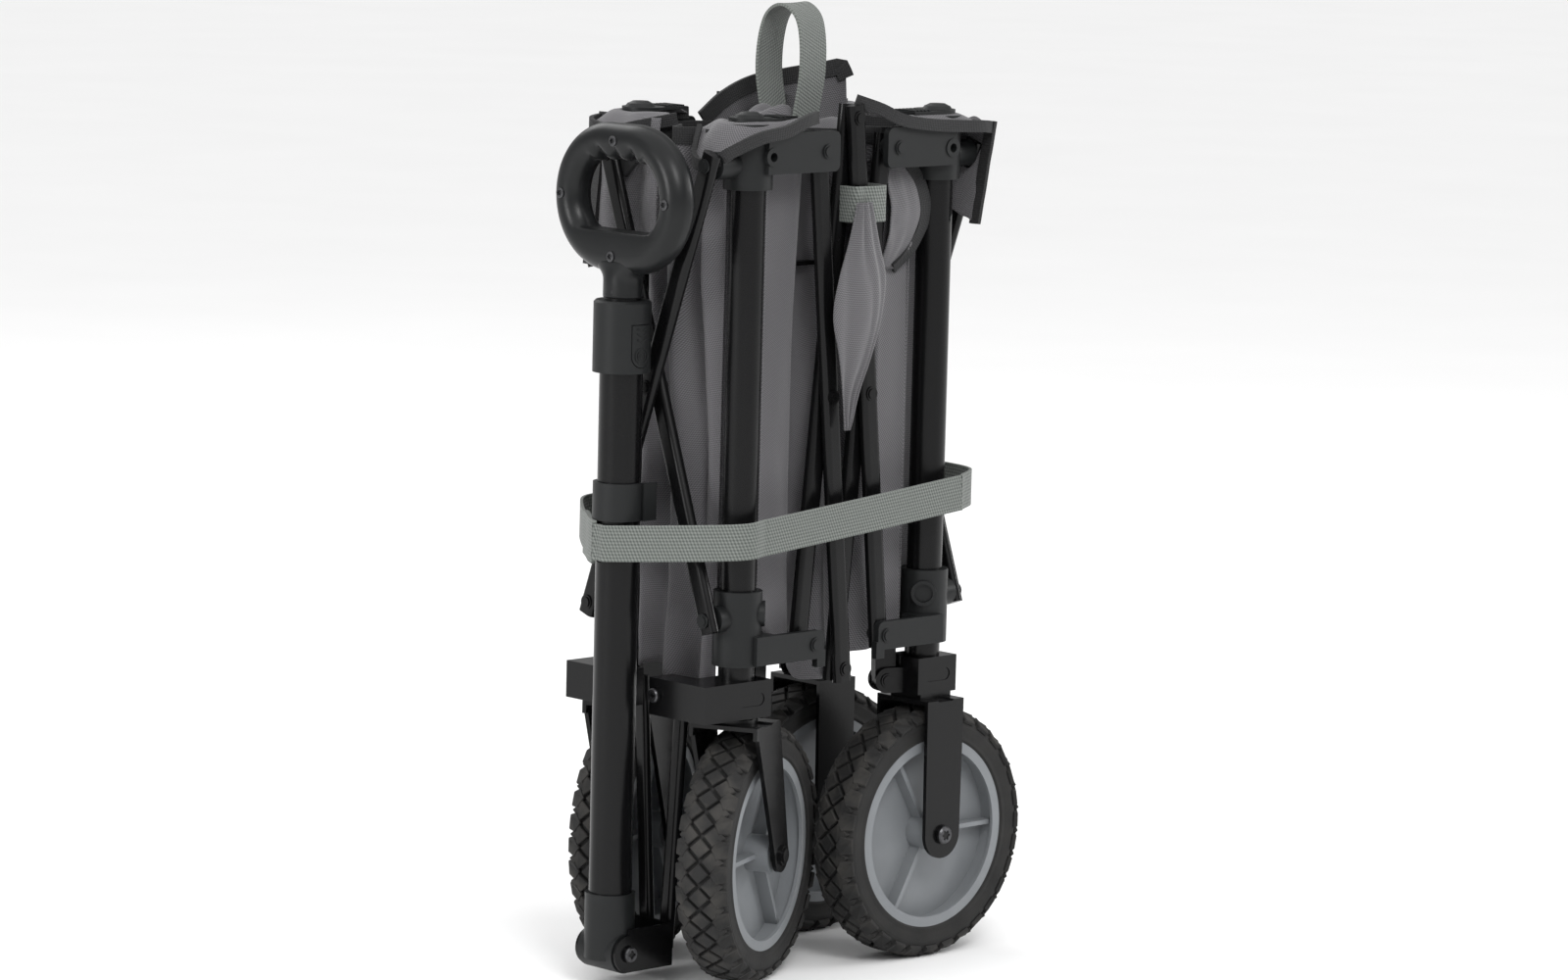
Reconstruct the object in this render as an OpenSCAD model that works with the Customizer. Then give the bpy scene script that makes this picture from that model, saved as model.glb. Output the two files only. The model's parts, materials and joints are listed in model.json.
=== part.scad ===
// Folding camp wagon, shown folded and standing on its four wheels.
// X runs along the wagon (the handle is at -X), Y across it, Z is up, and z = 0 is the floor.

/* [Folded frame] */
// Distance between the front and rear posts
post_gap_x = 182; // [170:1:200]
// Distance between the left and right posts
post_gap_y = 110; // [104:1:120]
// Diameter of a post
post_d = 25; // [22:0.5:26]
// Height of the top of a post
post_top = 598; // [590:1:610]

/* [Scissor bars] */
// Distance from a post to the pivot of its side bars
side_reach = 56; // [50:1:60]
// Height of the top pivots of the side bars
side_top_z = 581; // [570:1:590]
// Height of the slider pivots of the side bars
side_slider_z = 238; // [232:1:250]
// Length of a side bar between its outer pivots
side_bar_len = 366; // [355:1:372]
// Height of the top pivots of the end bars
end_top_z = 573; // [565:1:580]
// Height of the slider pivots of the end bars
end_slider_z = 260; // [250:1:270]
// Width of a bar
bar_w = 15; // [12:0.5:16]
// Thickness of a bar
bar_t = 8; // [6:0.5:8]

/* [Wheels] */
// Diameter of a wheel
wheel_d = 180; // [170:1:184]
// Width of a tyre
tyre_w = 37; // [30:1:38]
// Distance of a front axle behind its swivel
trail = 30; // [26:1:32]
// Direction in which the front wheels are turned when stored
caster_turn = 24; // [23:0.5:25]

/* [Handle] */
// Distance of the handle in front of the middle of the posts
handle_reach = 154; // [153:1:158]
// Diameter of the outer handle tube
handle_d = 30; // [29:0.5:31]
// Diameter of the inner handle tube
handle_inner_d = 25.4; // [24:0.1:25.6]
// Height of the handle's pivot
handle_pivot_z = 25; // [22:1:28]

/* [Fabric and straps] */
// Height of the lower edge of the fabric
fabric_z = 224; // [220:1:240]
// Width of the belt strap
belt_w = 25; // [20:1:30]
// Width of the pull strap
pull_w = 32; // [25:1:38]
// Height of the top of the pull strap
pull_top = 678; // [650:1:680]

/* [Hidden] */
$fn = 48;

// The middle of the posts, set so that the origin is under the middle of the whole object.
mid_x = -3.2;
mid_y = -12.2;
black = "#26282a";
plastic = "#3a3d3f";
steel = "#202122";
rubber = "#1d1c1b";
rim_grey = "#8c9194";
cloth = "#6b696d";
webbing = "#787f79";

post_r = post_d / 2;
sleeve_r = 17;
gap = 0.5;
pin_r = 3;
pin_play = 0.06;
head_r = 5;
head_h = 2;
wheel_r = wheel_d / 2;
post_bottom = 204;
// Screw hole in the outer face of a top bracket: its place along X and its span, measured outwards from the post.
bore_x = 4;
bore_mouth = 21.3;
bore_end = 13.5;

// Planes of the side bars, measured outwards from the middle line of the posts.
inner_y = -1.5;
outer_y = inner_y + bar_t + gap;
plate_y = outer_y + bar_t + gap;
plate_t = 5;
// Planes of the end bars, measured outwards from the posts.
end_inner_x = sleeve_r + 7;
end_outer_x = end_inner_x + bar_t + gap;

side_bar_angle = asin((post_gap_x / 2 - side_reach) / side_bar_len);
side_cross = (side_top_z - side_slider_z) / 2 / cos(side_bar_angle);
end_bar_len = norm([post_gap_y, end_top_z - end_slider_z]);
end_bar_angle = atan2(post_gap_y, end_top_z - end_slider_z);

// The base arms lie in upright planes at this angle to X.
base_angle = 18.63;
ear_reach = 30;
ear_z = 200;
base_arm_len = 312;
base_arm_w = 16;
base_arm_t = 7;
ear_t = 2.5;
hub_reach = 60;
hub_side = post_gap_y / 2 - post_gap_x / 2 * tan(base_angle);
base_arm_run = post_gap_x / 2 / cos(base_angle) - ear_reach - hub_reach;
base_arm_lean = asin(base_arm_run / base_arm_len);
hub_z = ear_z + base_arm_len * cos(base_arm_lean);

link_x = 14.5;
link_len = 180;
link_t = 7;
link_w = 12;
link_top_y = 21;
link_low_y = 9.5;
link_lean = asin((link_top_y - link_low_y) / link_len);
link_top_z = handle_pivot_z + link_len * cos(link_lean);

collar_z0 = 429;
collar_z1 = 477;
grip_z = 548;
grip_r = 12.5;
grip_turn_r = 39.5;
grip_straight = 26;
neck_r = 14;
fork_gap = tyre_w + 8;
fork_t = 3;
axle_r = 6;
axle_play = 0.06;

// Places things that are drawn for the front left corner, with the post at the origin, at one of the four corners.
module at_corner(front, left) {
  translate([mid_x, mid_y, 0])
    mirror([front ? 0 : 1, 0, 0])
      mirror([0, left ? 0 : 1, 0])
        translate([-post_gap_x / 2, -post_gap_y / 2, 0])
          children();
}

// A flat outline with round ends, from the origin along +X.
module slot_2d(len, w) {
  translate([0, -w / 2]) square([len, w]);
  circle(d = w);
  translate([len, 0]) circle(d = w);
}

// A flat oval tube that runs along -Z from its pivot, thick along Y from y = 0 outwards to y = -t.
module oval_bar(len, w, t, over_top = 9, over_low = 9) {
  translate([0, 0, -len - over_low])
    linear_extrude(len + over_top + over_low)
      intersection() {
        translate([0, -t / 2]) square([w, t], center = true);
        translate([-(w - t) / 2, -t / 2]) slot_2d(w - t, t);
      }
}

// A round pin or head along Y.
module y_pin(r, y0, y1) {
  translate([0, y1, 0]) rotate([90, 0, 0]) cylinder(r = r, h = y1 - y0);
}

// A rounded rivet head on a face at y = 0, standing out towards -Y.
module rivet_head(r = head_r, h = head_h) {
  rotate([90, 0, 0]) {
    cylinder(r = r, h = h * 0.55);
    cylinder(r = r * 0.72, h = h);
  }
}

// Upright tube of a corner, with a plastic end plug.
module post(front, left) {
  at_corner(front, left) color(black)
    difference() {
      translate([0, 0, post_bottom]) cylinder(r = post_r, h = post_top - post_bottom);
      translate([0, 0, post_bottom - 1]) cylinder(r = post_r - 1.5, h = post_top - post_bottom - 8);
    }
}

arm_corner_r = 5;

// Arm of a bracket: a flat plate with rounded corners that carries the pivot pin of a side bar.
module bracket_arm(z, h, outer) {
  bar_plane = outer ? outer_y : inner_y;
  corner_x = side_reach + 0.42 * h - arm_corner_r;
  translate([0, -plate_y, z]) rotate([90, 0, 0]) linear_extrude(plate_t) union() {
    translate([0, -h / 2]) square([corner_x, h]);
    translate([0, arm_corner_r - h / 2]) square([corner_x + arm_corner_r, h - 2 * arm_corner_r]);
    for (s = [-1, 1]) translate([corner_x, s * (h / 2 - arm_corner_r)]) circle(r = arm_corner_r);
  }
  translate([0, -plate_y - plate_t, z - h / 2]) cube([sleeve_r + 4, plate_y + plate_t, h]);
  translate([side_reach, 0, z]) {
    y_pin(pin_r, -plate_y - 1, -bar_plane);
    if (outer) y_pin(pin_r, -plate_y - 1, -bar_plane + gap + 1);
    if (outer) y_pin(head_r, -bar_plane + gap, -bar_plane + gap + 1.4);
    if (!outer) y_pin(7, -plate_y, -bar_plane - bar_t - gap);
    translate([0, -plate_y - plate_t, 0]) rivet_head();
  }
}

// Short round stub for an end bar, from the sleeve outwards along -X; pinned adds the bar's pivot pin.
module end_stub(z, outer, pinned) {
  bar_plane = outer ? end_outer_x : end_inner_x;
  translate([0, 0, z]) rotate([0, -90, 0]) {
    cylinder(r = 9.5, h = bar_plane - gap);
    if (pinned) cylinder(r = pin_r, h = bar_plane + bar_t + gap + 1);
    if (pinned) translate([0, 0, bar_plane + bar_t + gap]) {
      cylinder(r = head_r, h = head_h * 0.55);
      cylinder(r = head_r * 0.72, h = head_h);
    }
  }
}

// Ribbed clamp plate and domed cap that hold the fabric's corner down.
module cap_shape() {
  translate([0, 0, post_top + 4.5]) {
    translate([2, 1, 0]) cylinder(r = 15, h = 2.4);
    translate([2, -14, 0]) cube([34, 24, 2]);
    for (i = [0:4]) translate([18 + i * 3.6, -12, 1]) cube([1.8, 20, 2]);
    translate([0, 0, 2]) cylinder(r1 = 11, r2 = 9, h = 2.6);
    translate([0, 0, 4.4]) cylinder(r1 = 9, r2 = 5.5, h = 1.8);
  }
}

// Plastic corner bracket at the top of a post.
module top_bracket(front, left) {
  outer = front == left;
  at_corner(front, left) color(plastic) {
    difference() {
      union() {
        translate([0, 0, 556]) cylinder(r = sleeve_r, h = post_top + 3 - 556);
        bracket_arm(side_top_z, 28, outer);
        end_stub(end_top_z, left, left);
        translate([bore_x, 0, side_top_z - 2]) y_pin(6.5, -bore_mouth, -bore_end);
      }
      translate([0, 0, 550]) cylinder(r = post_r + 0.05, h = post_top - 550);
      translate([bore_x, 0, side_top_z - 2]) y_pin(3.2, -bore_mouth - 1, -bore_end);
    }
    if (front || left) cap_shape();
    if (front || left) translate([0, 0, post_top + 2.9]) cylinder(r = 8, h = 2);
  }
}

// Clamp plate and domed cap of the rear right corner.
module corner_cap_rr() {
  at_corner(false, false) color(plastic) cap_shape();
}

// Plastic slider that climbs a post as the frame opens.
module slider(front, left) {
  outer = front != left;
  at_corner(front, left) color(plastic) {
    difference() {
      union() {
        translate([0, 0, 227]) cylinder(r = sleeve_r, h = 52);
        bracket_arm(side_slider_z, 20, outer);
        translate([side_reach + 2, -plate_y - plate_t, side_slider_z - 16]) cube([8, plate_t, 12]);
        end_stub(end_slider_z, !left, left);
        translate([0, 0, 263]) rotate([90, 0, 45]) cylinder(r = 9, h = sleeve_r + 2);
      }
      translate([0, 0, 220]) cylinder(r = post_r + 0.35, h = 70);
      translate([0, 0, 263]) rotate([90, 0, 45]) translate([0, 0, sleeve_r - 1]) cylinder(r = 6.5, h = 8);
    }
  }
}

// Stamped steel bracket on the foot of a post, with the ears of a base arm.
module wheel_bracket(front, left) {
  box_x0 = front ? -44 : -19;
  box_x1 = 19;
  at_corner(front, left) color(steel) {
    difference() {
      union() {
        translate([box_x0, -16, 191]) cube([box_x1 - box_x0, 32, 26]);
        if (front) translate([box_x0, 0, 191]) cube([22, 40, 26]);
        rotate([0, 0, base_angle]) for (s = [-1, 1])
          translate([8, s * (base_arm_t / 2 + gap + ear_t / 2) - ear_t / 2, 191])
            cube([ear_reach - 8, ear_t, 18]);
        rotate([0, 0, base_angle]) for (s = [-1, 1])
          translate([ear_reach, s * (base_arm_t / 2 + gap + ear_t / 2) + ear_t / 2, ear_z])
            rotate([90, 0, 0]) cylinder(r = 9, h = ear_t);
      }
      translate([0, 0, post_bottom - 0.05]) cylinder(r = post_r + 0.05, h = 20);
      rotate([0, 0, base_angle]) translate([ear_reach - 12, -base_arm_t / 2 - gap, 180])
        cube([30, base_arm_t + 2 * gap, 60]);
      translate([0, -16.6, 204]) rotate([90, 0, 0]) translate([0, 0, -1.2])
        linear_extrude(2) translate([-8, 0]) slot_2d(16, 9);
    }
    rotate([0, 0, base_angle]) translate([ear_reach, 0, ear_z]) {
      y_pin(pin_r, -base_arm_t / 2 - gap - ear_t, base_arm_t / 2 + gap + ear_t);
      translate([0, -base_arm_t / 2 - gap - ear_t, 0]) rivet_head();
    }
    if (front) translate([0, post_gap_y / 2 - link_top_y, link_top_z]) rotate([0, -90, 0]) {
      translate([0, 0, link_x - gap]) cylinder(r = pin_r, h = link_t + 2 * gap + 1);
      translate([0, 0, link_x - gap - 1.6]) cylinder(r = head_r, h = 1.6);
      translate([0, 0, -box_x0 - 1]) cylinder(r = head_r + 1, h = 2.4);
      translate([0, 0, -box_x0 - 1]) cylinder(r = head_r - 1.2, h = 3.4);
    }
  }
}

// Side of a fork: a tapered leg with a round foot at the axle, thick along Y.
module fork_leg(top_w, foot_w, offset_x, top_z) {
  rotate([90, 0, 0]) linear_extrude(fork_t) union() {
    polygon([[-top_w / 2, top_z], [top_w / 2, top_z],
             [offset_x + foot_w / 2, wheel_r], [offset_x - foot_w / 2, wheel_r]]);
    translate([offset_x, wheel_r]) circle(d = foot_w);
  }
}

// A fork with its axle bolt; offset_x is how far the axle is from the middle of the fork's top.
module fork_shape(top_w, foot_w, offset_x) {
  top_z = 187;
  difference() {
    union() {
      translate([-top_w / 2, -fork_gap / 2 - fork_t, top_z - 3]) cube([top_w, fork_gap + 2 * fork_t, 3]);
      translate([0, -fork_gap / 2, 0]) fork_leg(top_w, foot_w, offset_x, top_z);
      translate([0, fork_gap / 2 + fork_t, 0]) fork_leg(top_w, foot_w, offset_x, top_z);
      for (s = [-1, 1]) translate([-top_w / 2, s * (fork_gap / 2 + fork_t - 1.5) - 1.5, 178])
        cube([top_w, 3, 9]);
    }
    translate([0, 0, 192]) rotate([90, 0, 0]) linear_extrude(200, center = true)
      translate([-6, -3]) slot_2d(12, 6);
  }
  translate([offset_x, 0, wheel_r]) {
    y_pin(axle_r, -fork_gap / 2 - 1, fork_gap / 2 + 1);
    translate([0, -fork_gap / 2 - fork_t, 0]) rivet_head(7, 3.4);
    mirror([0, 1, 0]) translate([0, -fork_gap / 2 - fork_t, 0]) rivet_head(7, 3.4);
  }
}

// Swivel fork of a front wheel, turned as it is stored.
module front_fork(left) {
  turn = left ? caster_turn : -caster_turn;
  at_corner(true, left) rotate([0, 0, turn]) color(steel) {
    fork_shape(42, 24, trail);
    translate([0, 0, 186]) cylinder(r = 16, h = 4);
  }
}

// Fixed fork of a rear wheel.
module rear_fork(left) {
  at_corner(false, left) color(steel) {
    fork_shape(36, 34, 0);
    translate([-15, -15, 186]) cube([30, 30, 4.8]);
  }
}

// Places a wheel, drawn at the origin with its axle along Y.
module at_wheel(front, left) {
  turn = front ? (left ? caster_turn : -caster_turn) : 0;
  at_corner(front, left) rotate([0, 0, turn]) translate([front ? trail : 0, 0, wheel_r])
    rotate([90, 0, 0]) children();
}

rim_r = 68;
tyre_inner_r = rim_r + 0.05;
shoulder = 9;

// Solid tyre with round shoulders.
module tyre(front, left) {
  flat = tyre_w / 2 - shoulder;
  at_wheel(front, left) color(rubber) rotate_extrude($fn = 96) union() {
    translate([tyre_inner_r, -tyre_w / 2 + 2]) square([wheel_r - shoulder - tyre_inner_r, tyre_w - 4]);
    translate([tyre_inner_r, -flat]) square([wheel_r - tyre_inner_r, 2 * flat]);
    for (s = [-1, 1]) translate([wheel_r - shoulder, s * flat]) circle(r = shoulder);
  }
}

// Plastic rim with a web, three ribs and a hub barrel.
module rim(front, left) {
  rim_w = tyre_w - 5;
  at_wheel(front, left) color(rim_grey) difference() {
    union() {
      rotate_extrude($fn = 96) translate([rim_r - 4, -rim_w / 2]) square([4, rim_w]);
      rotate_extrude($fn = 96) translate([rim_r - 7, -rim_w / 2]) square([4, 2.5]);
      rotate_extrude($fn = 96) translate([rim_r - 7, rim_w / 2 - 2.5]) square([4, 2.5]);
      cylinder(r = rim_r - 2, h = 3, center = true);
      cylinder(r = 13, h = tyre_w + 2, center = true);
      for (a = [60, 180, 300]) rotate([0, 0, a]) translate([10, -1.6, -rim_w / 2 + 5])
        cube([rim_r - 13, 3.2, rim_w - 10]);
    }
    cylinder(r = axle_r + axle_play, h = tyre_w + 10, center = true);
  }
}

// Rivet head where a bar laps or crosses another, on the outer or the inner face of the bar.
module bar_rivet(on_outer) {
  if (on_outer) translate([0, -bar_t, 0]) rivet_head();
  if (!on_outer) mirror([0, 1, 0]) rivet_head(head_r, 1.4);
}

// Side bar with its outer pivot at the origin, running down; up = true turns it to run up.
module side_bar(outer, up) {
  lean = up ? 180 + side_bar_angle : -side_bar_angle;
  rotate([0, lean, 0]) difference() {
    union() {
      oval_bar(side_bar_len, bar_w, bar_t);
      if (outer) for (z = [side_cross, side_bar_len]) translate([0, 0, -z]) bar_rivet(true);
    }
    y_pin(pin_r + pin_play, -bar_t - 1, 1);
  }
}

module side_top_bar(front, left) {
  outer = front == left;
  y = outer ? outer_y : inner_y;
  at_corner(front, left) translate([side_reach, -y, side_top_z]) color(black) side_bar(outer, false);
}

module side_slider_bar(front, left) {
  outer = front != left;
  y = outer ? outer_y : inner_y;
  at_corner(front, left) translate([side_reach, -y, side_slider_z]) color(black) side_bar(outer, true);
}

// End bar from the left corner to the right one; up = true runs it up from the left slider.
module end_bar(front, up) {
  x = up ? end_inner_x : end_outer_x;
  lean = up ? 180 - end_bar_angle : end_bar_angle;
  at_corner(front, true) translate([-x, 0, up ? end_slider_z : end_top_z])
    rotate([0, 0, -90]) rotate([0, lean, 0]) color(black) difference() {
      union() {
        oval_bar(end_bar_len, bar_w, bar_t);
        translate([0, 0, -end_bar_len / 2]) bar_rivet(!up);
        translate([0, 0, -end_bar_len]) bar_rivet(true);
      }
      y_pin(pin_r + pin_play, -bar_t - 1, 1);
    }
}

// Arm of the folding floor frame, from a wheel bracket up to the hub.
module base_arm(front, left) {
  at_corner(front, left) rotate([0, 0, base_angle]) translate([ear_reach, 0, ear_z])
    rotate([0, base_arm_lean, 0]) color(black) difference() {
      translate([0, base_arm_t / 2, 0]) rotate([90, -90, 0]) linear_extrude(base_arm_t)
        slot_2d(base_arm_len, base_arm_w);
      y_pin(pin_r + pin_play, -base_arm_t, base_arm_t);
    }
}

// Hub at the middle of the folding floor frame, with cheeks for four arms.
module base_hub() {
  cheek_len = 32;
  cheek_y = base_arm_t / 2 + gap + 0.8;
  color(steel) {
    difference() {
      translate([mid_x - 42, mid_y - 42, hub_z - 13]) cube([84, 84, 3]);
      for (front = [true, false]) for (left = [true, false]) at_corner(front, left)
        rotate([0, 0, base_angle]) translate([ear_reach + base_arm_run - 6, -cheek_y, hub_z - 14])
          cube([cheek_len, 2 * cheek_y, 5]);
    }
    for (front = [true, false]) for (left = [true, false]) at_corner(front, left)
      rotate([0, 0, base_angle]) translate([ear_reach + base_arm_run, 0, hub_z])
        for (s = [-1, 1]) translate([-4, s * cheek_y - 0.8, -13]) cube([cheek_len, 1.6, 20]);
    translate([mid_x - pull_w / 2 - 3, mid_y - 6, hub_z - 13]) cube([3, 12, 22]);
    translate([mid_x + pull_w / 2, mid_y - 6, hub_z - 13]) cube([3, 12, 22]);
    translate([mid_x - pull_w / 2 - 1, mid_y, hub_z + 4]) rotate([0, 90, 0]) cylinder(r = 3, h = pull_w + 2);
  }
}

// Link between a front wheel bracket and the handle's hub.
module handle_link(left) {
  at_corner(true, left) color(black)
    translate([-link_x, post_gap_y / 2 - link_top_y, link_top_z]) rotate([0, 0, -90])
      rotate([0, link_lean, 0]) difference() {
        oval_bar(link_len, link_w, link_t, 6, 2);
        y_pin(pin_r + pin_play, -link_t - 1, 1);
      }
}

link_front = mid_x - post_gap_x / 2 - link_x - link_t;
handle_x = mid_x - handle_reach;

// Steel hub that the two links and the handle's ears meet at.
module handle_hub() {
  ear_gap = handle_d + 6;
  back_x = link_front - 3;
  color(steel) difference() {
    union() {
      translate([back_x, mid_y - ear_gap / 2 - 2.5, handle_pivot_z - 13]) cube([2.5, ear_gap + 5, 30]);
      for (s = [-1, 1]) translate([handle_x, mid_y + s * (ear_gap / 2 + 1.25) - 1.25, handle_pivot_z]) {
        translate([0, 0, -13]) cube([back_x + 2 - handle_x, 2.5, 30]);
        translate([0, 2.5, 0]) rotate([90, 0, 0]) cylinder(r = 13, h = 2.5);
      }
    }
    translate([handle_x, 0, handle_pivot_z]) y_pin(pin_r, mid_y - ear_gap, mid_y + ear_gap);
  }
  color(steel) translate([handle_x, mid_y, handle_pivot_z]) {
    y_pin(pin_r, -ear_gap / 2 - 3, ear_gap / 2 + 3);
    for (m = [0, 1]) mirror([0, m, 0]) translate([0, -ear_gap / 2 - 2.5, 0]) rivet_head(6, 2.6);
  }
}

// Outer tube of the handle.
module handle_tube() {
  color(black) translate([handle_x, mid_y, 0]) difference() {
    translate([0, 0, 50]) cylinder(d = handle_d, h = collar_z1 - 4 - 50);
    translate([0, 0, 52]) cylinder(d = handle_inner_d + 0.16, h = 500);
  }
}

// Plastic foot of the handle with its pivot bore.
module handle_socket() {
  color(plastic) translate([handle_x, mid_y, 0]) difference() {
    union() {
      translate([0, 0, 20]) cylinder(d = handle_d + 5, h = 46);
      translate([0, 0, handle_pivot_z]) y_pin(14, -handle_d / 2 - 2.5, handle_d / 2 + 2.5);
    }
    translate([0, 0, 49.95]) cylinder(d = handle_d + 0.1, h = 30);
    translate([0, 0, handle_pivot_z]) y_pin(pin_r + pin_play, -40, 40);
  }
}

// Locking collar at the top of the outer tube, with a window for its button.
module handle_collar() {
  color(plastic) translate([handle_x, mid_y, 0]) difference() {
    union() {
      translate([0, 0, collar_z0]) cylinder(d = 40, h = collar_z1 - collar_z0);
      translate([0, 0, collar_z1]) cylinder(r1 = 20, r2 = 18.5, h = 1.5);
    }
    translate([0, 0, collar_z0 - 1]) cylinder(d = handle_d + 0.1, h = collar_z1 - 3 - collar_z0);
    translate([0, 0, collar_z0]) cylinder(d = handle_inner_d + 0.16, h = 80);
    translate([0, -10, collar_z0 + 19]) rotate([90, 0, 0]) linear_extrude(20) union() {
      translate([-8, -7]) square([16, 22]);
      translate([0, -7]) circle(r = 8);
    }
  }
}

// Press tab in the collar that lets the inner tube slide.
module collar_button() {
  color(plastic) translate([handle_x, mid_y, 0]) difference() {
    intersection() {
      translate([0, -10, collar_z0 + 19]) rotate([90, 0, 0]) linear_extrude(12) union() {
        translate([-7.5, -7]) square([15, 21.5]);
        translate([0, -7]) circle(r = 7.5);
      }
      translate([0, 0, collar_z0]) cylinder(d = 40.6, h = 60);
    }
    translate([0, 0, collar_z0 - 1]) cylinder(d = handle_d + 6.2, h = 70);
  }
}

// Snap clip on the outer tube that holds the stored handle to the frame.
module handle_clip() {
  clip_z = 327;
  color(plastic) translate([handle_x, mid_y, clip_z]) difference() {
    union() {
      cylinder(d = handle_d + 6, h = 26);
      for (s = [-1, 1]) translate([6, s * 17 - 2, 0]) cube([12, 4, 26]);
    }
    translate([0, 0, -1]) cylinder(d = handle_d + 0.1, h = 40);
    translate([8, -14, -1]) cube([30, 28, 40]);
  }
}

// Inner tube of the handle.
module handle_inner_tube() {
  color(black) translate([handle_x, mid_y, 0]) difference() {
    translate([0, 0, 62]) cylinder(d = handle_inner_d, h = grip_z - grip_turn_r - grip_r - 0.2 - 62);
    translate([0, 0, 61]) cylinder(d = handle_inner_d - 3, h = 600);
  }
}

// Ring grip with its neck.
module handle_grip() {
  color(plastic) translate([handle_x, mid_y, grip_z]) {
    for (s = [-1, 1]) translate([0, s * grip_straight / 2, 0]) rotate([90, 0, 90])
      rotate([0, 0, s > 0 ? -90 : 90]) rotate_extrude(angle = 180, $fn = 64)
        translate([grip_turn_r, 0]) circle(r = grip_r);
    for (s = [-1, 1]) translate([0, 0, s * grip_turn_r])
      y_pin(grip_r, -grip_straight / 2, grip_straight / 2);
    difference() {
      translate([0, 0, collar_z1 + 3 - grip_z]) cylinder(r = neck_r, h = grip_z - collar_z1 - grip_turn_r - 3);
      translate([0, 0, -90]) cylinder(d = handle_inner_d + 0.1, h = 90 - grip_turn_r - 0.1);
    }
  }
}

// Outline of the fabric between the posts; inset shrinks it by the cloth's thickness.
module bag_outline(inset) {
  a = post_gap_x / 2 - 18.4 - inset;
  b = post_gap_x / 2 + 8 - inset;
  c = post_gap_y / 2 - 2 - inset;
  d = post_gap_y / 2 - 21 - inset;
  polygon([[-a, -c], [a, -c], [a, -d], [b, -d], [b, d], [a, d],
           [a, c], [-a, c], [-a, d], [-b, d], [-b, -d], [-a, -d]]);
}

// Folded fabric of the tub.
module fabric_bag() {
  color(cloth) translate([mid_x, mid_y, fabric_z]) linear_extrude(post_top - 6 - fabric_z) difference() {
    bag_outline(0);
    bag_outline(1);
  }
}

// Outline of the belt strap round the folded frame and the handle.
module belt_outline(inset) {
  h = handle_reach + handle_d / 2 + 4 - inset;
  n = post_gap_y / 2 + plate_y + plate_t + 6 - inset;
  r = post_gap_x / 2 + end_outer_x + bar_t + 8 - inset;
  q = post_gap_x / 2 + 20;
  polygon([[-h, -12], [-q - 12, -n], [q, -n], [r, -n + 24], [r, n - 24],
           [q, n], [-q - 12, n], [-h, 12]]);
}

// Belt strap that keeps the folded wagon shut.
module belt_strap() {
  color(webbing) translate([mid_x, mid_y, 313]) rotate([0, -5, 0]) linear_extrude(belt_w) difference() {
    belt_outline(0);
    belt_outline(1.6);
  }
}

// Pull strap on the hub that folds the wagon.
module pull_loop() {
  leg = 22;
  t = 1.6;
  low = hub_z + 8;
  color(webbing) translate([mid_x, mid_y, 0]) rotate([0, 0, 90]) rotate([90, 0, 0])
    linear_extrude(pull_w, center = true) difference() {
      union() {
        translate([-leg, low]) square([2 * leg, pull_top - leg - low]);
        translate([0, pull_top - leg]) circle(r = leg);
      }
      translate([-leg + t, low + t]) square([2 * leg - 2 * t, pull_top - leg - low - t]);
      translate([0, pull_top - leg]) circle(r = leg - t);
    }
}

post(true, true);  // post_fl
post(true, false);  // post_fr
post(false, true);  // post_rl
post(false, false);  // post_rr
top_bracket(true, true);  // top_bracket_fl
top_bracket(true, false);  // top_bracket_fr
top_bracket(false, true);  // top_bracket_rl
top_bracket(false, false);  // top_bracket_rr
corner_cap_rr();
wheel_bracket(true, true);  // wheel_bracket_fl
wheel_bracket(true, false);  // wheel_bracket_fr
wheel_bracket(false, true);  // wheel_bracket_rl
wheel_bracket(false, false);  // wheel_bracket_rr
slider(true, true);  // slider_fl
slider(true, false);  // slider_fr
slider(false, true);  // slider_rl
slider(false, false);  // slider_rr
front_fork(true);  // fork_fl
front_fork(false);  // fork_fr
rear_fork(true);  // fork_rl
rear_fork(false);  // fork_rr
tyre(true, true);  // tyre_fl
tyre(true, false);  // tyre_fr
tyre(false, true);  // tyre_rl
tyre(false, false);  // tyre_rr
rim(true, true);  // rim_fl
rim(true, false);  // rim_fr
rim(false, true);  // rim_rl
rim(false, false);  // rim_rr
side_top_bar(true, true);  // side_top_bar_fl
side_top_bar(true, false);  // side_top_bar_fr
side_top_bar(false, true);  // side_top_bar_rl
side_top_bar(false, false);  // side_top_bar_rr
side_slider_bar(true, true);  // side_slider_bar_fl
side_slider_bar(true, false);  // side_slider_bar_fr
side_slider_bar(false, true);  // side_slider_bar_rl
side_slider_bar(false, false);  // side_slider_bar_rr
end_bar(true, false);  // end_top_bar_front
end_bar(true, true);  // end_slider_bar_front
end_bar(false, false);  // end_top_bar_rear
end_bar(false, true);  // end_slider_bar_rear
base_arm(true, true);  // base_arm_fl
base_arm(true, false);  // base_arm_fr
base_arm(false, true);  // base_arm_rl
base_arm(false, false);  // base_arm_rr
base_hub();
handle_link(true);  // handle_link_left
handle_link(false);  // handle_link_right
handle_hub();
handle_tube();
handle_socket();
handle_collar();
handle_clip();
collar_button();
handle_inner_tube();
handle_grip();
fabric_bag();
belt_strap();
pull_loop();
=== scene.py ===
"""Looks of a folding camp wagon that stands folded on its wheels.

Lengths are in metres; +X is the wagon's rear, -Y its left side.
"""
import json
import math

import bpy
from mathutils import Matrix, Vector, noise


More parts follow.
